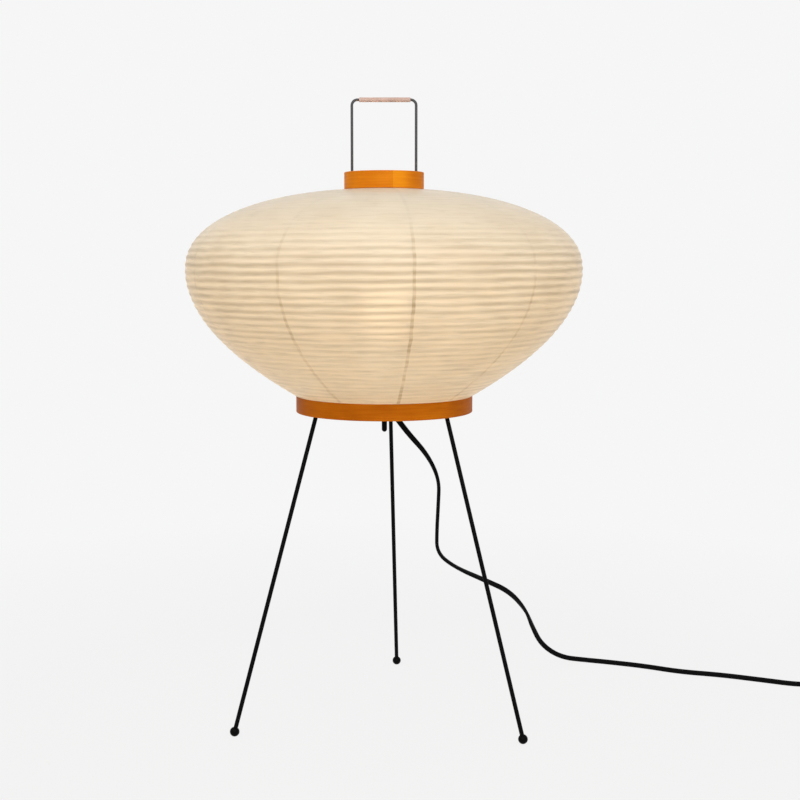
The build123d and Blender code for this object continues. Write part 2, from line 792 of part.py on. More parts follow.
# Rubber outlet under the plate, bored along the cord's own route
outlet_way = [b - a for a, b in zip(cord_points[1], cord_points[2])]
outlet_way = [part / dist(cord_points[1], cord_points[2]) for part in outlet_way]
outlet_tip = [a + outlet_length * way for a, way in zip(cord_points[1], outlet_way)]
with BuildPart() as cord_outlet:
    with BuildSketch(Plane(origin=cord_points[1], z_dir=outlet_way)):
        Circle(outlet_root_diameter / 2)
    with BuildSketch(Plane(origin=outlet_tip, z_dir=outlet_way)):
        Circle(outlet_tip_diameter / 2)
    loft()
    with BuildSketch(Plane.XY.offset(plate_bottom)):
        with Locations((outlet_x, outlet_y)):
            Circle(outlet_root_diameter)
    extrude(amount=outlet_root_diameter, mode=Mode.SUBTRACT)
    with BuildSketch(Plane.XY.offset(plate_bottom - outlet_flange_height)):
        with Locations((outlet_x, outlet_y)):
            Circle(outlet_flange_diameter / 2)
    extrude(amount=outlet_flange_height)
    with BuildSketch(Plane.XY.offset(plate_bottom)):
        with Locations((outlet_x, outlet_y)):
            Circle(outlet_spigot_diameter / 2)
    extrude(amount=plate_thickness)
    with BuildLine() as outlet_bore:
        FilletPolyline(*cord_points[:3], radius=cord_radii[0])
    with BuildSketch(Plane(origin=cord_points[0], z_dir=(0, 0, -1))):
        Circle(cord_radius + press_gap)
    sweep(path=outlet_bore.wires()[0], mode=Mode.SUBTRACT)
cord_outlet.part.label = "cord_outlet"
export_step(cord_outlet.part, "parts/cord_outlet.step")

# In-line switch
switch_plane = Plane(origin=(switch_x, switch_y, 0), x_dir=heading, z_dir=(0, 0, 1))
switch_side = polar(1.0, switch_heading + 90)


def on_switch(along, across, height):
    flat = [along * h + across * s for h, s in zip(heading, switch_side)]
    return (switch_x + flat[0], switch_y + flat[1], height)


channel_start = on_switch(-switch_length / 2, 0, upper_z)
channel_end = on_switch(switch_length / 2 - channel_depth, 0, upper_z)
channel_in = Plane(origin=channel_start, x_dir=switch_side, z_dir=heading)
channel_out = Plane(origin=channel_end, x_dir=switch_side, z_dir=heading)
screw_holes = [(-switch_screw_side, 0), (switch_screw_side, 0)]
head_top = switch_screw_head_height + slide_gap

with BuildPart() as switch_base:
    with BuildSketch(switch_plane):
        RectangleRounded(switch_length, switch_width, switch_corner)
    extrude(amount=upper_z)
    for channel in (channel_in, channel_out):
        with BuildSketch(channel):
            Circle(cord_radius + press_gap)
        extrude(amount=channel_depth, mode=Mode.SUBTRACT)
    with BuildSketch(switch_plane):
        with Locations(*screw_holes):
            Circle(switch_screw_diameter / 2 + hole_gap)
    extrude(amount=upper_z, mode=Mode.SUBTRACT)
    with BuildSketch(switch_plane):
        with Locations(*screw_holes):
            Circle(switch_screw_head_diameter / 2 + hole_gap)
    extrude(amount=head_top, mode=Mode.SUBTRACT)
switch_base.part.label = "switch_base"
export_step(switch_base.part, "parts/switch_base.step")

rocker_pivot = switch_height - rocker_drop
rocker_reach = hypot(rocker_length / 2, rocker_end_height)
with BuildPart() as switch_cover:
    with BuildSketch(switch_plane.offset(upper_z)):
        RectangleRounded(switch_length, switch_width, switch_corner)
    extrude(amount=switch_height - upper_z)
    fillet(switch_cover.faces().sort_by(Axis.Z)[-1].edges(), switch_edge)
    for channel in (channel_in, channel_out):
        with BuildSketch(channel):
            Circle(cord_radius + press_gap)
        extrude(amount=channel_depth, mode=Mode.SUBTRACT)
    with BuildSketch(switch_plane.offset(upper_z)):
        with Locations(*screw_holes):
            Circle(switch_screw_diameter / 2 + press_gap)
    extrude(amount=switch_screw_bite + press_gap, mode=Mode.SUBTRACT)
    with BuildSketch(switch_plane.offset(upper_z)):
        Rectangle(2 * (rocker_reach + slide_gap), rocker_width + 2 * slide_gap)
    extrude(amount=switch_height - upper_z, mode=Mode.SUBTRACT)
    socket_half = trunnion_length / 2 + slide_gap
    socket_centre = on_switch(0, -socket_half, rocker_pivot)
    with BuildSketch(Plane(origin=socket_centre, x_dir=heading, z_dir=switch_side)):
        Circle(trunnion_diameter / 2 + running_gap)
    extrude(amount=2 * socket_half, mode=Mode.SUBTRACT)
switch_cover.part.label = "switch_cover"
export_step(switch_cover.part, "parts/switch_cover.step")

with BuildPart() as switch_screws:
    with BuildSketch(switch_plane.offset(slide_gap)):
        with Locations(*screw_holes):
            Circle(switch_screw_head_diameter / 2)
    extrude(amount=switch_screw_head_height)
    with BuildSketch(switch_plane.offset(head_top)):
        with Locations(*screw_holes):
            Circle(switch_screw_diameter / 2)
    extrude(amount=upper_z + switch_screw_bite - head_top)
switch_screws.part.label = "switch_screws"
export_step(switch_screws.part, "parts/switch_screws.step")

tilted = [cos(radians(rocker_tilt)) * part for part in heading]
tilted[2] = sin(radians(rocker_tilt))
away = [-part for part in switch_side]
rocker_half = rocker_length / 2
with BuildPart() as switch_rocker:
    with BuildSketch(Plane(origin=on_switch(0, rocker_width / 2, rocker_pivot), x_dir=tilted, z_dir=away)):
        with BuildLine():
            Polyline(
                (-rocker_half, rocker_heel_height),
                (-rocker_belly_depth, -rocker_belly_depth),
                (rocker_belly_depth, -rocker_belly_depth),
                (rocker_half, rocker_heel_height),
                (rocker_half, rocker_end_height),
                (0, rocker_ridge_height),
                (-rocker_half, rocker_end_height),
                close=True,
            )
        make_face()
    extrude(amount=rocker_width)
    trunnion_end = on_switch(0, trunnion_length / 2, rocker_pivot)
    with BuildSketch(Plane(origin=trunnion_end, x_dir=tilted, z_dir=away)):
        Circle(trunnion_diameter / 2)
    extrude(amount=trunnion_length)
switch_rocker.part.label = "switch_rocker"
export_step(switch_rocker.part, "parts/switch_rocker.step")

# Spare cord: from the switch into a two-layer hank of four turns, then the plug's tail
lead_start = on_switch(entry_back, 0, upper_z)
bend_start = on_switch(switch_length / 2 + lead_straight, 0, upper_z)
bend_x = bend_start[0] - lead_bend_radius * switch_side[0]
bend_y = bend_start[1] - lead_bend_radius * switch_side[1]
bend_middle = polar(lead_bend_radius, (switch_heading + 90) / 2)
coil_right = bend_x + lead_bend_radius
coil_x = coil_right - coil_radius
coil_y = bend_y - lead_run
upper_radii = [coil_radius - step * coil_step for step in range(4)]
climb_radius = coil_radius - 4 * coil_step
lower_radii = [coil_radius - step * coil_step for step in (3, 2, 1)]
climb_reach = sqrt(climb_radius ** 2 + (coil_layer_step / 2) ** 2)
plug_z = plug_thickness / 2
tail_y = coil_y - tail_straight
plug_tail_y = tail_y - tail_rise_length
tail_end_y = plug_tail_y - 2 * cord_diameter

with BuildPart() as cord_coil:
    with BuildLine() as coil_path:
        Line(lead_start, bend_start)
        ThreePointArc(
            bend_start,
            (bend_x + bend_middle[0], bend_y + bend_middle[1], upper_z),
            (coil_right, bend_y, upper_z),
        )
        Line((coil_right, bend_y, upper_z), (coil_right, coil_y, upper_z))
        place = coil_right
        side = -1
        for turn in upper_radii:
            ThreePointArc(
                (place, coil_y, upper_z),
                (place + side * turn, coil_y + side * turn, upper_z),
                (place + 2 * side * turn, coil_y, upper_z),
            )
            place += 2 * side * turn
            side = -side
        half_way = (coil_x, coil_y - climb_reach, (upper_z + coil_lower_height) / 2)
        first_climb = TangentArc((place, coil_y, upper_z), half_way, tangent=(0, -1, 0))
        place -= 2 * climb_radius
        TangentArc(half_way, (place, coil_y, coil_lower_height), tangent=first_climb % 1)
        side = 1
        for turn in lower_radii:
            ThreePointArc(
                (place, coil_y, coil_lower_height),
                (place + side * turn, coil_y + side * turn, coil_lower_height),
                (place + 2 * side * turn, coil_y, coil_lower_height),
            )
            place += 2 * side * turn
            side = -side
        Line((coil_right, coil_y, coil_lower_height), (coil_right, tail_y, coil_lower_height))
        rise_middle = (coil_right, (tail_y + plug_tail_y) / 2, (coil_lower_height + plug_z) / 2)
        first_rise = TangentArc((coil_right, tail_y, coil_lower_height), rise_middle, tangent=(0, -1, 0))
        TangentArc(rise_middle, (coil_right, plug_tail_y, plug_z), tangent=first_rise % 1)
        Line((coil_right, plug_tail_y, plug_z), (coil_right, tail_end_y, plug_z))
    with BuildSketch(Plane(origin=lead_start, z_dir=heading)):
        Circle(cord_radius)
    sweep(path=coil_path.wires()[0])
cord_coil.part.label = "cord_coil"
export_step(cord_coil.part, "parts/cord_coil.step")
cord_coil_length = coil_path.wires()[0].length

# Tie round the hank at its back, where the turns stack two by two
tie_near = sqrt(lower_radii[0] ** 2 - coil_step ** 2) - coil_step - cord_radius - tie_gap
tie_far = coil_radius - coil_step + cord_radius + tie_gap
tie_low = coil_lower_height - cord_radius - tie_gap
tie_high = upper_z + cord_radius + tie_gap
tie_span = tie_far - tie_near
tie_rise = tie_high - tie_low
with BuildPart() as coil_tie:
    tie_middle = (coil_x - tie_width / 2, coil_y + tie_near + tie_span / 2, tie_low + tie_rise / 2)
    with BuildSketch(Plane(origin=tie_middle, x_dir=(0, 1, 0), z_dir=(1, 0, 0))):
        RectangleRounded(tie_span + 2 * tie_thickness, tie_rise + 2 * tie_thickness, cord_radius)
        RectangleRounded(tie_span, tie_rise, cord_radius - tie_thickness, mode=Mode.SUBTRACT)
    extrude(amount=tie_width)
coil_tie.part.label = "coil_tie"
export_step(coil_tie.part, "parts/coil_tie.step")

# Plug on the tail's end, lying flat
plug_tip_y = tail_end_y + cord_end_in_piece
plug_back_y = plug_tip_y - plug_relief_length
plug_plane = Plane(origin=(coil_right, plug_back_y, 0), x_dir=(0, -1, 0), z_dir=(0, 0, 1))
plug_half = plug_width / 2
with BuildPart() as plug_body:
    with BuildSketch(plug_plane):
        with BuildLine():
            Polyline(
                (0, -plug_neck_width / 2),
                (0.3 * plug_length, -plug_half),
                (0.9 * plug_length, -plug_half),
                (plug_length, -0.8 * plug_half),
                (plug_length, 0.8 * plug_half),
                (0.9 * plug_length, plug_half),
                (0.3 * plug_length, plug_half),
                (0, plug_neck_width / 2),
                close=True,
            )
        make_face()
    extrude(amount=plug_thickness)
    chamfer(plug_body.edges().group_by(Axis.Z)[-1], plug_edge)
    chamfer(plug_body.edges().group_by(Axis.Z)[0], plug_edge)
    with BuildSketch(Plane(origin=(coil_right, plug_back_y - plug_edge, plug_z), z_dir=(0, 1, 0))):
        Circle(plug_relief_root_diameter / 2)
    with BuildSketch(Plane(origin=(coil_right, plug_tip_y, plug_z), z_dir=(0, 1, 0))):
        Circle(plug_relief_tip_diameter / 2)
    loft()
    with BuildSketch(Plane(origin=(coil_right, plug_tip_y, plug_z), z_dir=(0, -1, 0))):
        Circle(cord_radius + press_gap)
    extrude(amount=channel_depth, mode=Mode.SUBTRACT)
    pin_middle = (coil_right, plug_back_y - plug_length, plug_z)
    pin_face = Plane(origin=pin_middle, x_dir=(1, 0, 0), z_dir=(0, 1, 0))
    with BuildSketch(pin_face):
        with Locations((-pin_spacing / 2, 0), (pin_spacing / 2, 0)):
            Circle(pin_diameter / 2 + press_gap)
    extrude(amount=pin_in_plug, mode=Mode.SUBTRACT)
plug_body.part.label = "plug_body"
export_step(plug_body.part, "parts/plug_body.step")

with BuildPart() as plug_pins:
    with BuildSketch(pin_face.offset(pin_in_plug - press_gap)):
        with Locations((-pin_spacing / 2, 0), (pin_spacing / 2, 0)):
            Circle(pin_diameter / 2)
    extrude(amount=-(pin_length + pin_in_plug))
    chamfer(plug_pins.edges().group_by(Axis.Y)[0], pin_diameter / 6)
plug_pins.part.label = "plug_pins"
export_step(plug_pins.part, "parts/plug_pins.step")

# Figures to read
coil_wire = coil_path.wires()[0]
samples = [coil_wire.position_at(i / 900) for i in range(901)]
sample_step = cord_coil_length / 900
apart = int(4 * cord_diameter / sample_step)
least = min((samples[i] - samples[j]).length for i in range(901) for j in range(i + apart, 901, 2))
tube_area = pi * cord_radius ** 2
print("cord corner radii", [round(radius, 1) for radius in cord_radii])
run_share = cord_run.part.volume / tube_area / cord_run_length
coil_share = cord_coil.part.volume / tube_area / cord_coil_length
print("cord run length", round(cord_run_length, 1), "volume share", round(run_share, 4))
print("coil length", round(cord_coil_length, 1), "volume share", round(coil_share, 4))
print("coil least self-gap", round(least - cord_diameter, 2))
print("ribs", rib_count, "meridian", round(lengths[-1], 1), "equator", round(equator_height, 2))
print("plate", round(plate_bottom, 2), round(plate_top, 2), "top hoop", round(top_hoop_base, 2))
print("bulb tip", round(bulb_tip, 2), "globe", round(globe_height, 2), "holder rim", round(shell_top, 2))
print("rocker pivot", [round(part, 2) for part in on_switch(0, 0, rocker_pivot)])
print("coil middle", round(coil_x, 2), round(coil_y, 2))
print("plug", round(coil_right, 2), round(plug_back_y, 2))
print("outlet tip", [round(part, 2) for part in outlet_tip])
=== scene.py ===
import math

import bpy
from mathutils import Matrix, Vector, noise


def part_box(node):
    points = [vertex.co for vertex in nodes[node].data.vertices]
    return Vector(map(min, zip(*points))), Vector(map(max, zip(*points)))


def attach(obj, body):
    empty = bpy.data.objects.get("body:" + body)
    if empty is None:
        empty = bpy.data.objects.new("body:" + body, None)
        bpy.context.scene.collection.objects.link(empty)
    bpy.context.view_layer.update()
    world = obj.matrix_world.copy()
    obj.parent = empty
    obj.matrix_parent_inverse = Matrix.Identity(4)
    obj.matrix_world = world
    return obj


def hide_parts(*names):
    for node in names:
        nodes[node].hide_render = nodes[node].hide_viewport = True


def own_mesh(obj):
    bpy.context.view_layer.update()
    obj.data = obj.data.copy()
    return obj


# Paper lamp: folding paper lantern on a bent wood hoop and three rod legs.
# Metres, in the model's own frame: lamp axis is Z, floor is z = 0, front is -Y.
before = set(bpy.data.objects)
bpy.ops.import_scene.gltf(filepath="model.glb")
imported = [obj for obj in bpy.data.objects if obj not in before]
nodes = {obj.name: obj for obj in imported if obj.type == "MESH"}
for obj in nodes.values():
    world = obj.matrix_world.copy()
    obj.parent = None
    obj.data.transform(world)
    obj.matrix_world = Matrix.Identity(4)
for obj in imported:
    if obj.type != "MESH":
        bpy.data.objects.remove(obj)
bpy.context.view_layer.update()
MM = 0.001

# Shade outline, with the same sizes as the solids
SHADE_RADIUS = 250.0 * MM
CROWN_RISE = 101.4 * MM
CROWN_POWER = 2.208
BELLY_DROP = 216.3 * MM
BELLY_POWER = 1.972
FOOT_GAP = 0.05 * MM
RIB_COUNT = 50
PANEL_COUNT = 10
PANEL_TURN = math.radians(-82.2)
PANEL_ANGLE = 2 * math.pi / PANEL_COUNT
bottom_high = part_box("bottom_hoop")[1]
top_low, top_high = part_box("top_hoop")
BOTTOM_HOOP_RADIUS = bottom_high.x
TOP_HOOP_RADIUS = top_high.x
SHADE_FOOT = bottom_high.z + FOOT_GAP
EQUATOR = SHADE_FOOT + BELLY_DROP * (1 - BOTTOM_HOOP_RADIUS / SHADE_RADIUS) ** (1 / BELLY_POWER)

# Paper: pleats between the ribs, lapped seams, and hems turned in at both hoops
PAPER_THICKNESS = 0.3 * MM
PLEAT_DEPTH = 0.9 * MM
HEM_LENGTH = 5.0 * MM
LOWER_HEM_INSET = 4.2 * MM
UPPER_HEM_INSET = 3.4 * MM
SEAM_OVERLAP = 4.0 * MM
SEAM_LIFT = 0.25 * MM
SEAM_WOBBLE = 1.2 * MM
LOWER_HEM_RADIUS = BOTTOM_HOOP_RADIUS - LOWER_HEM_INSET
UPPER_HEM_RADIUS = TOP_HOOP_RADIUS - UPPER_HEM_INSET

# Mesh of a panel: rows for each rib, columns between its seams, and columns of the lap by share of its width
STEPS_PER_RIB = 6
PANEL_COLUMNS = 26
LAP_COLUMNS = (0.12, 0.5, 0.88, 1.0)
PANEL_WIDTH = PANEL_COLUMNS + 1 + len(LAP_COLUMNS)
OUTLINE_STEPS = 400
PAPER_SMOOTH_ANGLE = math.radians(50)

# Each seam is pasted by hand, so some show more than others: the value sets how far its lap stands out and
# how much painted shade the lap has.
SEAM_STRENGTHS = (0.5, 0.25, 0.8, 0.5, 0.9, 0.6, 0.8, 0.25, 0.6, 1.0)

# Where pleats, the painted rib shade and the seams fade, as shares of the outline from the bottom hoop up
PLEAT_END = 0.635
PLEAT_FADE = 0.15
SEAM_END = 0.64
SEAM_FADE = 0.2
FOOT_END = 0.16
FOOT_FADE = 0.32
HOOP_RIBS = 1.5

# Strength of the lamp's light in the paper, low on the shade and at its top
LOW_GLOW = 0.175
CROWN_GLOW = 0.005

WHITE = (1, 1, 1, 1)


def colour(code):
    """Linear colour of an sRGB hex value."""
    parts = [int(code[i:i + 2], 16) / 255 for i in (1, 3, 5)]
    return [p / 12.92 if p <= 0.04045 else ((p + 0.055) / 1.055) ** 2.4 for p in parts] + [1.0]


def add(tree, kind, inputs=None, **settings):
    """One node with its settings. Each input is a constant or the output that feeds it."""
    node = tree.nodes.new(kind)
    for name, value in settings.items():
        setattr(node, name, value)
    for name, value in (inputs or {}).items():
        if isinstance(value, bpy.types.NodeSocket):
            tree.links.new(value, node.inputs[name])
        else:
            node.inputs[name].default_value = value
    return node


def object_place(tree):
    return add(tree, "ShaderNodeTexCoord").outputs["Object"]


def scaled(tree, place, scale):
    return add(tree, "ShaderNodeMapping", {"Vector": place, "Scale": scale}).outputs["Vector"]


def cloud_noise(tree, place, size, detail, roughness=0.5, distortion=0.0):
    """Noise with features of a size in metres."""
    inputs = {"Vector": place, "Scale": 1 / size, "Detail": detail}
    inputs.update({"Roughness": roughness, "Distortion": distortion})
    return add(tree, "ShaderNodeTexNoise", inputs).outputs["Fac"]


def mapped(tree, value, start, end, at_start, at_end, **settings):
    """A value's stretch from start to end turned into another, and held at both ends."""
    inputs = {"Value": value, "From Min": start, "From Max": end, "To Min": at_start, "To Max": at_end}
    return add(tree, "ShaderNodeMapRange", inputs, **settings).outputs["Result"]


def calculated(tree, operation, first, second):
    return add(tree, "ShaderNodeMath", {0: first, 1: second}, operation=operation).outputs["Value"]


def ramp(tree, level, first, last, *between):
    """Colours by level, from stops that are a position and a colour each."""
    node = add(tree, "ShaderNodeValToRGB", {"Fac": level})
    elements = node.color_ramp.elements
    for element, (position, value) in zip(elements, (first, last)):
        element.position = position
        element.color = value
    for position, value in between:
        elements.new(position).color = value
    return node.outputs["Color"]


def multiplied(tree, base, tint, factor=1.0):
    """A colour times a tint, as far as the factor says."""
    inputs = {"Factor": factor, "A": base, "B": tint}
    node = add(tree, "ShaderNodeMix", inputs, data_type="RGBA", blend_type="MULTIPLY")
    return node.outputs["Result"]


def bumped(tree, level, strength, depth):
    inputs = {"Height": level, "Strength": strength, "Distance": depth}
    return add(tree, "ShaderNodeBump", inputs).outputs["Normal"]


def new_material(name):
    material = bpy.data.materials.new(name)
    material.use_nodes = True
    tree = material.node_tree
    tree.nodes.clear()
    return material, tree


def surfaced(tree, inputs):
    """The material's face, straight to its output."""
    face = add(tree, "ShaderNodeBsdfPrincipled", inputs)
    add(tree, "ShaderNodeOutputMaterial", {"Surface": face.outputs["BSDF"]})


def dress(material, *names):
    """Puts a material on CAD nodes."""
    for name in names:
        data = nodes[name].data
        data.materials.clear()
        data.materials.append(material)


# Materials

def mulberry_paper():
    """Handmade mulberry paper over bamboo ribs: cloudy, fibrous, warm where the lamp shines through."""
    material, tree = new_material("mulberry_paper")
    place = object_place(tree)
    height = add(tree, "ShaderNodeSeparateXYZ", {"Vector": place}).outputs["Z"]
    cloud = cloud_noise(tree, place, 55 * MM, 4.0)
    fibre = cloud_noise(tree, scaled(tree, place, (1.0, 1.0, 18.0)), 36 * MM, 6.0, 0.6, 0.4)
    tone = ramp(tree, cloud, (0.30, colour("#F0E4CE")), (0.70, colour("#F6ECD8")))
    fleck = ramp(tree, fibre, (0.32, (0.90, 0.88, 0.84, 1)), (0.48, WHITE))
    flecked = multiplied(tree, tone, fleck, 0.6)
    # Low on the shade, where the bulb is nearest, the paper is painted darker and warmer: painted shade from
    # the light above, warmed by the lamp light through it.
    low_shade = mapped(tree, height, EQUATOR - 70 * MM, EQUATOR + 30 * MM, 1.0, 0.0)
    low_shaded = multiplied(tree, flecked, (0.99, 0.955, 0.905, 1), low_shade)
    # Painted shade: the paper is darker at a lapped seam, where two sheets let less lamp light through, and
    # at each rib, for the rib's shadow in that light and the shade just under it.
    lap_shade = add(tree, "ShaderNodeAttribute", attribute_name="lap_shade").outputs["Fac"]
    rib_shade = add(tree, "ShaderNodeAttribute", attribute_name="rib_shade").outputs["Fac"]
    lapped = multiplied(tree, low_shaded, (0.78, 0.71, 0.60, 1), lap_shade)
    rib_shaded = multiplied(tree, lapped, (0.785, 0.737, 0.66, 1), rib_shade)
    # Lamp light through the sheet: most low on the shade, least on the crown, less behind a rib or a lap,
    # and uneven with the fibres.
    level = mapped(
        tree, height, EQUATOR - 30 * MM, top_low.z, LOW_GLOW, CROWN_GLOW, interpolation_type="SMOOTHSTEP",
    )
    behind = mapped(tree, calculated(tree, "MAXIMUM", rib_shade, lap_shade), 0.0, 1.0, 1.0, 0.6)
    thinness = mapped(tree, fibre, 0.35, 0.65, 0.75, 1.25)
    glow = calculated(tree, "MULTIPLY", calculated(tree, "MULTIPLY", level, behind), thinness)
    # Part of the light goes straight through, so the bulb shows as a soft bright patch.
    face = add(
        tree, "ShaderNodeBsdfPrincipled",
        {
            "Base Color": rib_shaded, "Roughness": 0.26, "Specular IOR Level": 0.03, "IOR": 1.47,
            "Transmission Weight": 0.2, "Emission Color": colour("#FFDCA2"), "Emission Strength": glow,
            "Normal": bumped(tree, fibre, 0.2, 0.3 * MM),
        },
    )
    through = add(tree, "ShaderNodeBsdfTranslucent", {"Color": rib_shaded})
    sheet = add(tree, "ShaderNodeMixShader", {0: 0.15, 1: face.outputs["BSDF"], 2: through.outputs["BSDF"]})
    add(tree, "ShaderNodeOutputMaterial", {"Surface": sheet.outputs["Shader"]})
    return material


def lacquered_hoop(name, radius, joint, dark, light, figure_size, figure_tone):
    """Thin bent wood strip under orange lacquer: long grain round the hoop, a scarf joint, soft sheen."""
    material, tree = new_material(name)
    turned = add(tree, "ShaderNodeMapping", {"Vector": object_place(tree), "Rotation": (0, 0, -joint)})
    split = add(tree, "ShaderNodeSeparateXYZ", {"Vector": turned.outputs["Vector"]}).outputs
    along = calculated(tree, "MULTIPLY", calculated(tree, "ARCTAN2", split["Y"], split["X"]), radius)
    strip = add(tree, "ShaderNodeCombineXYZ", {"X": along, "Y": split["Z"]}).outputs["Vector"]
    grain = cloud_noise(tree, scaled(tree, strip, (0.05, 1.0, 1.0)), 2.2 * MM, 5.0, 0.6, 0.3)
    figure = cloud_noise(tree, strip, figure_size, 2.0)
    tone = ramp(tree, grain, (0.30, colour(dark)), (0.72, colour(light)))
    wood = multiplied(tree, tone, ramp(tree, figure, (0.35, figure_tone), (0.65, WHITE)))
    # At the scarf joint a dark glue line, then the strip's other end, paler for a short way: a real lap,
    # with a painted highlight on it.
    scarf = mapped(tree, along, -0.5 * MM, 26 * MM, 0.0, 1.0)
    away = (0.90, 0.88, 0.86, 1)
    glue_line = (0.012, (0.8, 0.76, 0.72, 1))
    other_end_and_highlight = [(0.05, (1.0, 1.1, 1.1, 1)), (0.55, (1.0, 1.08, 1.0, 1))]
    tint = ramp(tree, scarf, (0.0, away), (1.0, away), glue_line, *other_end_and_highlight)
    surfaced(tree, {
        "Base Color": multiplied(tree, wood, tint), "Roughness": 0.42, "Specular IOR Level": 0.03,
        "Normal": bumped(tree, grain, 0.15, 0.1 * MM),
    })
    return material


def plain_finish(name, dark, light, grit, rough, depth, specular=0.5, metallic=0.0):
    """A painted, moulded or plated surface: fine mottle in colour and roughness over a slight grain."""
    material, tree = new_material(name)
    mottle = cloud_noise(tree, object_place(tree), grit, 4.0)
    surfaced(tree, {
        "Base Color": ramp(tree, mottle, (0.3, colour(dark)), (0.7, colour(light))),
        "Roughness": mapped(tree, mottle, 0.0, 1.0, *rough), "Metallic": metallic,
        "Specular IOR Level": specular, "Normal": bumped(tree, mottle, 0.3, depth),
    })
    return material


def cane_sleeve():
    """Split cane on the carrying bar: pinkish tan, streaked along its length, dull."""
    material, tree = new_material("cane_sleeve")
    place = object_place(tree)
    grain = cloud_noise(tree, scaled(tree, place, (0.12, 1.0, 1.0)), 1.2 * MM, 1.0, 0.6)
    patch = cloud_noise(tree, place, 18 * MM, 2.0)
    tone = ramp(tree, grain, (0.3, colour("#CCAA9A")), (0.7, colour("#D8BBAE")))
    stain = ramp(tree, patch, (0.35, (0.86, 0.84, 0.83, 1)), (0.6, WHITE))
    surfaced(tree, {
        "Base Color": multiplied(tree, tone, stain), "Roughness": 0.6, "Specular IOR Level": 0.2,
        "Normal": bumped(tree, grain, 0.2, 0.1 * MM),
    })
    return material


def opal_glass():
    """Lit opal bulb: white glass that glows warm all over, a little less at its neck."""
    material, tree = new_material("opal_glass")
    height = add(tree, "ShaderNodeSeparateXYZ", {"Vector": object_place(tree)}).outputs["Z"]
    low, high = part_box("bulb_glass")
    neck_end = low.z + 0.45 * (high.z - low.z)
    surfaced(tree, {
        "Base Color": colour("#F6EFE2"), "Roughness": 0.25, "Emission Color": colour("#FFF3E2"),
        "Emission Strength": mapped(tree, height, low.z, neck_end, 2.0, 7.8),
    })
    return material


# Meshes

def strip_faces(row_count, width, closed=False):
    """Four-cornered faces between rows of points; a closed row joins its last point to its first."""
    faces = []
    for row in range(row_count - 1):
        low = row * width
        for column in range(width if closed else width - 1):
            after = (column + 1) % width
            faces.append((low + column, low + after, low + width + after, low + width + column))
    return faces


def new_piece(name, verts, faces, material):
    """A mesh piece, the only one selected."""
    mesh = bpy.data.meshes.new(name)
    mesh.from_pydata(verts, [], faces)
    mesh.materials.append(material)
    piece = bpy.data.objects.new(name, mesh)
    bpy.context.scene.collection.objects.link(piece)
    bpy.ops.object.select_all(action="DESELECT")
    bpy.context.view_layer.objects.active = piece
    piece.select_set(True)
    return piece


# Paper shade, one panel at a time

def meridian_points(steps):
    """Evenly spaced points up the shade's outline, each with its direction, and the outline's length."""
    fine = []
    for i in range(OUTLINE_STEPS + 1):
        swell = math.sin(math.pi / 2 * i / OUTLINE_STEPS)
        radius = BOTTOM_HOOP_RADIUS + (SHADE_RADIUS - BOTTOM_HOOP_RADIUS) * swell
        fine.append((radius, EQUATOR - BELLY_DROP * (1 - radius / SHADE_RADIUS) ** (1 / BELLY_POWER)))
    for i in range(OUTLINE_STEPS - 1, -1, -1):
        swell = math.sin(math.pi / 2 * i / OUTLINE_STEPS)
        radius = TOP_HOOP_RADIUS + (SHADE_RADIUS - TOP_HOOP_RADIUS) * swell
        rise = (1 - (radius / SHADE_RADIUS) ** CROWN_POWER) ** (1 / CROWN_POWER)
        fine.append((radius, EQUATOR + CROWN_RISE * rise))
    lengths = [0.0]
    for before, after in zip(fine, fine[1:]):
        lengths.append(lengths[-1] + math.dist(before, after))
    points = []
    index = 1
    for i in range(steps + 1):
        wanted = lengths[-1] * i / steps
        while lengths[index] < wanted and index < len(fine) - 1:
            index += 1
        part = (wanted - lengths[index - 1]) / (lengths[index] - lengths[index - 1])
        low, high = fine[index - 1], fine[index]
        out = high[0] - low[0]
        up = high[1] - low[1]
        step = math.dist(low, high)
        points.append((low[0] + part * out, low[1] + part * up, out / step, up / step))
    return points, lengths[-1]


outline, outline_length = meridian_points(RIB_COUNT * STEPS_PER_RIB)


def ease(value):
    """Smooth step from 0 to 1."""
    value = max(0.0, min(1.0, value))
    return value * value * (3 - 2 * value)


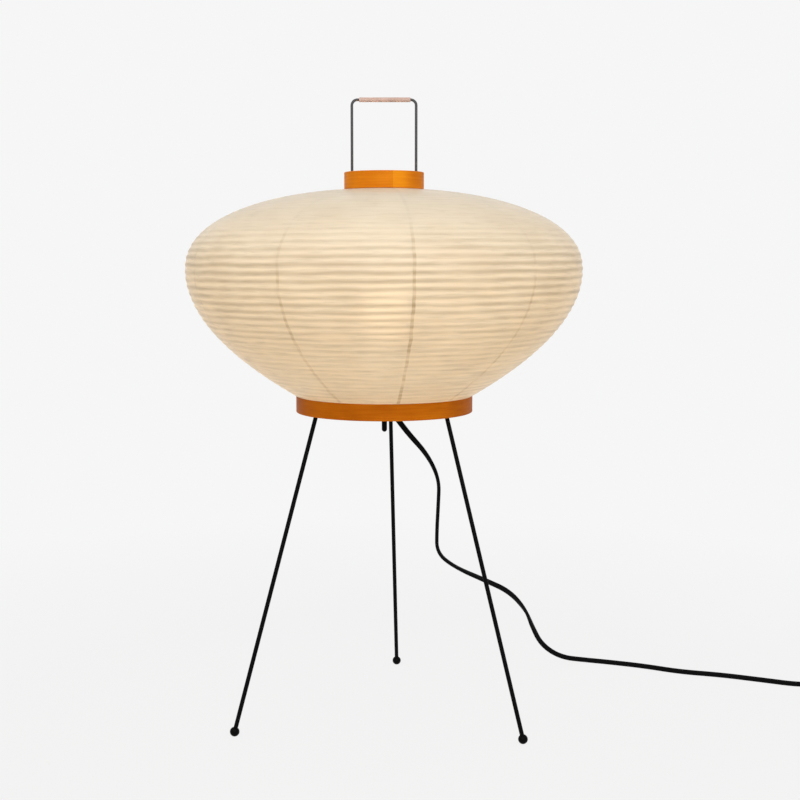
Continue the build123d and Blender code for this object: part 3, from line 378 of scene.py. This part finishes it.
def pleat(share, azimuth):
    """Depth of the paper below the rib line, how much painted rib shade there is, and how near the rib is,
    at a place.
    """
    # The rib's spiral wanders a little, and the paper is slacker in some places.
    spot = Vector((math.cos(azimuth) * 6, math.sin(azimuth) * 6, share * 30))
    turns = share * RIB_COUNT
    wander = 0.10 * noise.noise(spot * 0.7) + 0.05 * noise.noise(spot * 2.1)
    phase = (turns - azimuth / (2 * math.pi) + wander) % 1.0
    swing = 0.5 - 0.5 * math.cos(2 * math.pi * phase)
    slack = 0.85 + 0.45 * noise.noise(spot * 0.9 + Vector((9, 4, 2)))
    # The crown and the foot are drawn tighter, so the pleats and the painted rib shade show less there.
    ends = min(1.0, turns / HOOP_RIBS, (1 - share) * RIB_COUNT / HOOP_RIBS)
    crown = ease((PLEAT_END - share) / PLEAT_FADE)
    foot = ease((share - FOOT_END) / FOOT_FADE)
    depth = PLEAT_DEPTH * swing * slack * ends * (0.2 + 0.8 * crown) * (0.5 + 0.5 * foot)
    # The painted shade at each rib is darker and paler in streaks along its length. It peaks just below the
    # rib, where the paper turns down away from the light.
    near = 0.5 + 0.5 * math.cos(2 * math.pi * (phase + 0.06))
    shade_streak = 0.58 + 0.32 * foot + 0.6 * noise.noise(Vector((azimuth * 3.1, turns * 0.9, 5.5)))
    shade_streak += (0.55 - 0.25 * foot) * noise.noise(Vector((azimuth * 11.0, turns * 0.9, 2.5)))
    shown = ends * (0.08 + 0.92 * crown * (0.28 + 0.72 * foot))
    return depth, near ** 1.2 * shown * max(0.12, min(1.0, shade_streak)), near


def seam_shade_and_lift(number, share, near):
    """How much painted shade a seam's lap has, more where a rib's shade crosses it, and how far the lap
    stands out, at a place.
    """
    strength = (0.12 + 0.88 * ease((SEAM_END - share) / SEAM_FADE)) * SEAM_STRENGTHS[number]
    uneven_shade = max(0.1, 0.8 + 1.1 * noise.noise(Vector((number * 3.3, share * 34, 0.4))))
    return (0.55 + 0.45 * near) * strength * uneven_shade, SEAM_LIFT * strength


def panel_point(number, column, radius, height, index):
    """One point of a panel, with how much painted shade the lap and the rib give it there. A hem has no
    index.
    """
    azimuth = PANEL_TURN + number * PANEL_ANGLE
    lapped = column > PANEL_COLUMNS
    if lapped:
        azimuth += PANEL_ANGLE + SEAM_OVERLAP / radius * LAP_COLUMNS[column - PANEL_COLUMNS - 1]
    else:
        azimuth += PANEL_ANGLE * column / PANEL_COLUMNS
    if index is None:
        return (radius * math.cos(azimuth), radius * math.sin(azimuth), height), 0.0, 0.0
    share = index / (len(outline) - 1)
    depth, rib_shade, near = pleat(share, azimuth)
    lap_shade = 0.0
    lift = 0.0
    if lapped:
        lap_shade, lift = seam_shade_and_lift(number, share, near)
        azimuth += SEAM_WOBBLE * noise.noise(Vector((number * 7.3, share * 30, 1.7))) / radius
    along_r, along_z = outline[index][2:]
    out = lift - depth
    reach = radius + out * along_z
    return (reach * math.cos(azimuth), reach * math.sin(azimuth), height - out * along_r), lap_shade, rib_shade


def paper_panel(number, material):
    """One paper panel from seam to seam, with its lap, its hems and its thickness."""
    head = outline[-1][1]
    rows = [(LOWER_HEM_RADIUS, SHADE_FOOT - HEM_LENGTH, None), (LOWER_HEM_RADIUS, SHADE_FOOT, None)]
    rows += [(radius, height, index) for index, (radius, height, _, _) in enumerate(outline)]
    rows += [(UPPER_HEM_RADIUS, head, None), (UPPER_HEM_RADIUS, head + HEM_LENGTH, None)]
    points = [panel_point(number, column, *row) for row in rows for column in range(PANEL_WIDTH)]
    verts, lap_shades, rib_shades = zip(*points)
    piece = new_piece(
        "shade_paper_%02d" % (number + 1), verts, strip_faces(len(rows), PANEL_WIDTH), material,
    )
    mesh = piece.data
    mesh.attributes.new("lap_shade", "FLOAT", "POINT").data.foreach_set("value", lap_shades)
    mesh.attributes.new("rib_shade", "FLOAT", "POINT").data.foreach_set("value", rib_shades)
    sheet = piece.modifiers.new("sheet", "SOLIDIFY")
    sheet.thickness = PAPER_THICKNESS
    sheet.offset = -1.0
    bpy.ops.object.modifier_apply(modifier="sheet")
    bpy.ops.object.shade_smooth_by_angle(angle=PAPER_SMOOTH_ANGLE)
    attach(piece, "stand")
    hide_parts("paper_panel_%02d" % (number + 1))
    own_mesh(piece)


paper = mulberry_paper()
for number in range(PANEL_COUNT):
    paper_panel(number, paper)

# Cord: flat twin flex, one length from the lamp holder to the plug
CORD_WIDTH = 7.2 * MM
CORD_THICKNESS = 4.8 * MM
GROOVE_WIDTH = 0.7 * MM
CORE_POINTS = 9
CORD_SMOOTH_ANGLE = math.radians(40)

# Heights and hank of the route, in millimetres
FLOOR_Z = 3.7
COIL_LOW = 3.5
COIL_HIGH = 10.15
COIL_X, COIL_Y = 660.62, -1.94
COIL_RADIUS = 40.0
COIL_STEP = 2.8
COIL_POINTS = 8
TAIL_X = 700.6
PLUG_Z = 6.85

# The curve runs inside its points, so those of the hank stand a little wide.
COIL_SPREAD = 1.012

# Turn of the flat side in the hank, in degrees
COIL_TWIST = 571

# Route points in millimetres, each with the turn of the flat side in degrees:
# 0 shows its width to the front, 90 its edge. Where it curves on the floor it stands on its edge.
route = [
    (1.0, 13.0, 432.4, 0),
    (1.0, 13.0, 407.9, 0),
    (27.4, 18.0, 370.0, 0),
    (56.0, 24.0, 337.7, 55),
    (71.6, 32.0, 303.7, 90),
    (70.9, 42.0, 271.0, 90),
    (69.3, 55.0, 230.7, 90),
    (69.6, 67.0, 197.1, 90),
    (95.1, 86.0, 173.0, 90),
    (137.7, 110.0, 149.1, 135),
    (174.0, 136.0, 126.9, 180),
    (199.7, 160.0, 93.3, 255),
    (210.1, 176.0, 65.5, 315),
    (225.8, 192.0, 33.0, 350),
    (255.4, 203.0, 11.2, 358),
    (292.4, 214.5, FLOOR_Z, 360),
    (327.5, 203.0, FLOOR_Z, 360),
    (375.5, 184.0, FLOOR_Z, 360),
    (420.8, 157.8, FLOOR_Z, 360),
    (474.8, 143.6, FLOOR_Z, 360),
    (525.8, 121.5, FLOOR_Z, 360),
    (577.0, 98.0, FLOOR_Z, 372),
    (606.2, 86.7, COIL_HIGH, 440),
    (625.0, 79.5, COIL_HIGH, 450),
    (645.2, 71.7, COIL_HIGH, 450),
    (674.0, 60.7, COIL_HIGH, 450),
]

# The points up to this one hang; the rest lie on the floor.
HANGING = 15


def coil_points():
    """The spare flex: into the hank, four turns in two layers, and out to the plug."""
    points = [
        (692.0, 52.0, COIL_HIGH, 485),
        (TAIL_X, 34.0, COIL_HIGH, 530),
        (TAIL_X, 14.0, COIL_HIGH, COIL_TWIST),
    ]
    place = COIL_X + COIL_RADIUS
    side = -1
    half_turns = [(COIL_RADIUS - COIL_STEP * k, COIL_HIGH, COIL_HIGH) for k in range(4)]
    half_turns += [(COIL_RADIUS - COIL_STEP * 4, COIL_HIGH, COIL_LOW)]
    half_turns += [(COIL_RADIUS - COIL_STEP * k, COIL_LOW, COIL_LOW) for k in (3, 2, 1)]
    for radius, start_z, end_z in half_turns:
        middle = place + side * radius
        for k in range(COIL_POINTS):
            angle = math.pi * (k + 0.5) / COIL_POINTS
            swing = 0.5 - 0.5 * math.cos(angle)
            x = middle - side * radius * COIL_SPREAD * math.cos(angle)
            y = COIL_Y + side * radius * COIL_SPREAD * math.sin(angle)
            points.append((x, y, start_z + (end_z - start_z) * swing, COIL_TWIST))
        place += 2 * side * radius
        side = -side
    points += [
        (TAIL_X, -12.0, COIL_LOW, 575),
        (TAIL_X, -24.0, COIL_LOW, 592),
        (TAIL_X, -36.0, 5.2, 615),
        (TAIL_X, -50.0, PLUG_Z, 630),
        (TAIL_X, -61.0, PLUG_Z, 630),
    ]
    return points


def smooth_path(controls):
    """Points along the smooth curve that the route's points draw."""
    curve = bpy.data.curves.new("flex_route", "CURVE")
    curve.dimensions = "3D"
    curve.resolution_u = 7
    spline = curve.splines.new("NURBS")
    spline.points.add(len(controls) - 1)
    for point, (x, y, z, _) in zip(spline.points, controls):
        point.co = (x * MM, y * MM, z * MM, 1.0)
    spline.order_u = 3
    spline.use_endpoint_u = True
    line = bpy.data.objects.new("flex_route", curve)
    bpy.context.scene.collection.objects.link(line)
    bpy.context.view_layer.update()
    traced = bpy.data.meshes.new_from_object(line)
    path = [vert.co.copy() for vert in traced.vertices]
    bpy.data.objects.remove(line)
    bpy.data.meshes.remove(traced)
    return path


def flex_section():
    """Two round cores under one skin, with a shallow groove between them."""
    core = CORD_THICKNESS / 2
    reach = CORD_WIDTH / 2 - core
    bend = math.acos((GROOVE_WIDTH / 2 - reach) / core)
    section = []
    for side in (1, -1):
        for k in range(CORE_POINTS):
            angle = bend * (2 * k / (CORE_POINTS - 1) - 1)
            section.append((side * (reach + core * math.cos(angle)), side * core * math.sin(angle)))
    return section


def flat_flex(material):
    """The flex as one skin along its route, turned as the route says, with both ends closed."""
    controls = route + coil_points()
    path = smooth_path(controls)
    section = flex_section()
    width = len(section)
    last = len(path) - 1
    verts = []
    for i, spot in enumerate(path):
        ahead = path[min(i + 1, last)] - path[max(i - 1, 0)]
        ahead.normalize()
        share = i / last * (len(controls) - 2) + 0.5
        index = max(0, min(len(controls) - 2, int(share)))
        part = max(0.0, min(1.0, share - index))
        twist = math.radians(controls[index][3] * (1 - part) + controls[index + 1][3] * part)
        guide = ahead.cross(Vector((0, 1, 0))) if share < HANGING else Vector((0, 0, 1))
        first = (guide - ahead * guide.dot(ahead)).normalized()
        second = ahead.cross(first)
        wide = first * math.cos(twist) + second * math.sin(twist)
        thin = ahead.cross(wide)
        verts += [tuple(spot + wide * a + thin * b) for a, b in section]
    faces = strip_faces(len(path), width, closed=True)
    faces.append(tuple(reversed(range(width))))
    faces.append(tuple(range(len(verts) - width, len(verts))))
    piece = new_piece("flat_flex", verts, faces, material)
    bpy.ops.object.mode_set(mode="EDIT")
    bpy.ops.mesh.select_all(action="SELECT")
    bpy.ops.mesh.normals_make_consistent(inside=False)
    bpy.ops.object.mode_set(mode="OBJECT")
    bpy.ops.object.shade_smooth_by_angle(angle=CORD_SMOOTH_ANGLE)
    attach(piece, "stand")
    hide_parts("cord_run", "cord_coil")


flat_flex(plain_finish(
    "black_flex_vinyl", "#020202", "#040404", 1.5 * MM, (0.48, 0.56), 0.01 * MM, specular=0.07,
))

# Finishes on the solids
dress(
    plain_finish(
        "satin_black_paint", "#020202", "#050505", 2.5 * MM, (0.42, 0.56), 0.01 * MM, specular=0.06,
    ),
    "leg_front_left", "leg_front_right", "leg_back", "ball_feet", "leg_sockets", "base_plate",
    "wire_guides", "wire_sockets", "lamp_stem",
)
dress(
    plain_finish(
        "dark_spring_steel", "#464647", "#505051", 2.0 * MM, (0.4, 0.48), 0.01 * MM, specular=0.3,
    ),
    "stretcher_wire",
)
dress(
    plain_finish("zinc_plate", "#8E8F8C", "#B4B5B1", 1.5 * MM, (0.28, 0.45), 0.03 * MM, metallic=1.0),
    "leg_grub_screws", "hoop_screws", "guide_screws", "stem_nuts", "switch_screws",
)
# The bottom hoop wears a darker copy of the top hoop's orange lacquer, with darker figure: painted shade,
# for the shadow under the shade's belly.
dress(
    lacquered_hoop(
        "shaded_lacquered_bottom_hoop", BOTTOM_HOOP_RADIUS, math.radians(140), "#CC6C0B", "#DD7D12",
        70 * MM, (0.74, 0.66, 0.5, 1),
    ),
    "bottom_hoop",
)
dress(
    lacquered_hoop(
        "lacquered_top_hoop", TOP_HOOP_RADIUS, math.radians(-77.5), "#EA8416", "#F89A20",
        40 * MM, (0.90, 0.84, 0.80, 1),
    ),
    "top_hoop",
)
dress(cane_sleeve(), "handle_grip")
dress(opal_glass(), "bulb_glass")
dress(
    plain_finish("moulded_holder", "#101010", "#1A1A1A", 6.0 * MM, (0.22, 0.34), 0.03 * MM),
    "holder_cup", "holder_shell", "bulb_insulator",
)
dress(
    plain_finish("unglazed_ceramic", "#DCD8CE", "#EDEAE2", 1.2 * MM, (0.7, 0.85), 0.05 * MM),
    "holder_insert",
)
dress(
    plain_finish("bare_brass", "#A8843C", "#C6A255", 2.0 * MM, (0.28, 0.42), 0.02 * MM, metallic=1.0),
    "screw_sleeve", "centre_contact",
)
dress(
    plain_finish("nickel_plate", "#B8B6AE", "#D2D0C8", 2.0 * MM, (0.2, 0.34), 0.02 * MM, metallic=1.0),
    "bulb_cap", "plug_pins",
)
dress(
    plain_finish("black_rubber", "#0C0C0C", "#181818", 0.8 * MM, (0.6, 0.75), 0.05 * MM),
    "guide_grommets", "cord_outlet", "coil_tie",
)
dress(
    plain_finish("moulded_black", "#070707", "#0D0D0D", 0.7 * MM, (0.42, 0.54), 0.02 * MM, specular=0.25),
    "switch_base", "switch_cover", "plug_body",
)
dress(
    plain_finish("rocker_gloss", "#1C1C1C", "#242424", 1.0 * MM, (0.22, 0.3), 0.01 * MM),
    "switch_rocker",
)

# Pale floor that keeps the shadow, and the pale room behind it
ROOM_COLOUR = colour("#F6F6F6")
FLOOR_SIZE = 24.0
SHADOW_RADIUS = 0.5
SHADOW_END = 1.3
SHADOW_SHARE = 0.08
ROOM_LIGHT = 0.62


def seen_straight(tree):
    """1 for what is seen straight on, in a shine or through the paper; 0 for light that falls on things."""
    rays = add(tree, "ShaderNodeLightPath").outputs
    passed_on = calculated(tree, "MAXIMUM", rays["Is Glossy Ray"], rays["Is Transmission Ray"])
    return calculated(tree, "MAXIMUM", rays["Is Camera Ray"], passed_on)


def pale_floor():
    """Pale painted floor: plain room colour, with part of the shadow near the lamp."""
    material, tree = new_material("pale_floor")
    paint = add(tree, "ShaderNodeBsdfDiffuse", {"Color": colour("#D6D6D6")})
    plain = add(tree, "ShaderNodeEmission", {"Color": ROOM_COLOUR, "Strength": 1.0})
    distance = add(tree, "ShaderNodeVectorMath", {0: object_place(tree)}, operation="LENGTH")
    clear = mapped(tree, distance.outputs["Value"], SHADOW_RADIUS, SHADOW_END, 1 - SHADOW_SHARE, 1.0)
    share = calculated(tree, "MULTIPLY", seen_straight(tree), clear)
    both = add(
        tree, "ShaderNodeMixShader", {0: share, 1: paint.outputs["BSDF"], 2: plain.outputs["Emission"]},
    )
    add(tree, "ShaderNodeOutputMaterial", {"Surface": both.outputs["Shader"]})
    return material


bpy.ops.mesh.primitive_plane_add(size=FLOOR_SIZE, location=(0, 0, 0))
floor = bpy.context.active_object
floor.name = "floor"
floor.data.materials.append(pale_floor())

scene = bpy.context.scene
scene.view_settings.view_transform = "Standard"
world = bpy.data.worlds.new("studio")
scene.world = world
world.use_nodes = True
tree = world.node_tree
tree.nodes.clear()
ambient = add(tree, "ShaderNodeBackground", {"Color": colour("#FFFFFF"), "Strength": ROOM_LIGHT})
room = add(tree, "ShaderNodeBackground", {"Color": ROOM_COLOUR, "Strength": 1.0})
both = add(
    tree, "ShaderNodeMixShader",
    {0: seen_straight(tree), 1: ambient.outputs["Background"], 2: room.outputs["Background"]},
)
add(tree, "ShaderNodeOutputWorld", {"Surface": both.outputs["Shader"]})


def soft_light(name, place, aim, size, power):
    """Square softbox that faces a point."""
    bpy.ops.object.light_add(type="AREA", location=place)
    lamp = bpy.context.active_object
    lamp.name = name
    lamp.data.size = size
    lamp.data.energy = power
    lamp.rotation_mode = "QUATERNION"
    lamp.rotation_quaternion = (Vector(aim) - Vector(place)).to_track_quat("-Z", "Y")


LIGHT_AIM = (0, 0, 0.5)
soft_light("front_softbox", (0.05, -2.5, 1.8), LIGHT_AIM, size=2.0, power=36)
soft_light("overhead_softbox", (-0.2, -0.5, 2.9), LIGHT_AIM, size=1.2, power=4)

# Camera fitted to the photograph; its dip below level is in radians
CAMERA_PLACE = (0.02004, -1.7139, 0.5975)
CAMERA_DIP = 0.1078
bpy.ops.object.camera_add(location=CAMERA_PLACE, rotation=(math.pi / 2 - CAMERA_DIP, 0, 0))
camera = bpy.context.active_object
camera.data.sensor_width = 36.0
camera.data.lens = 60.5
scene.camera = camera
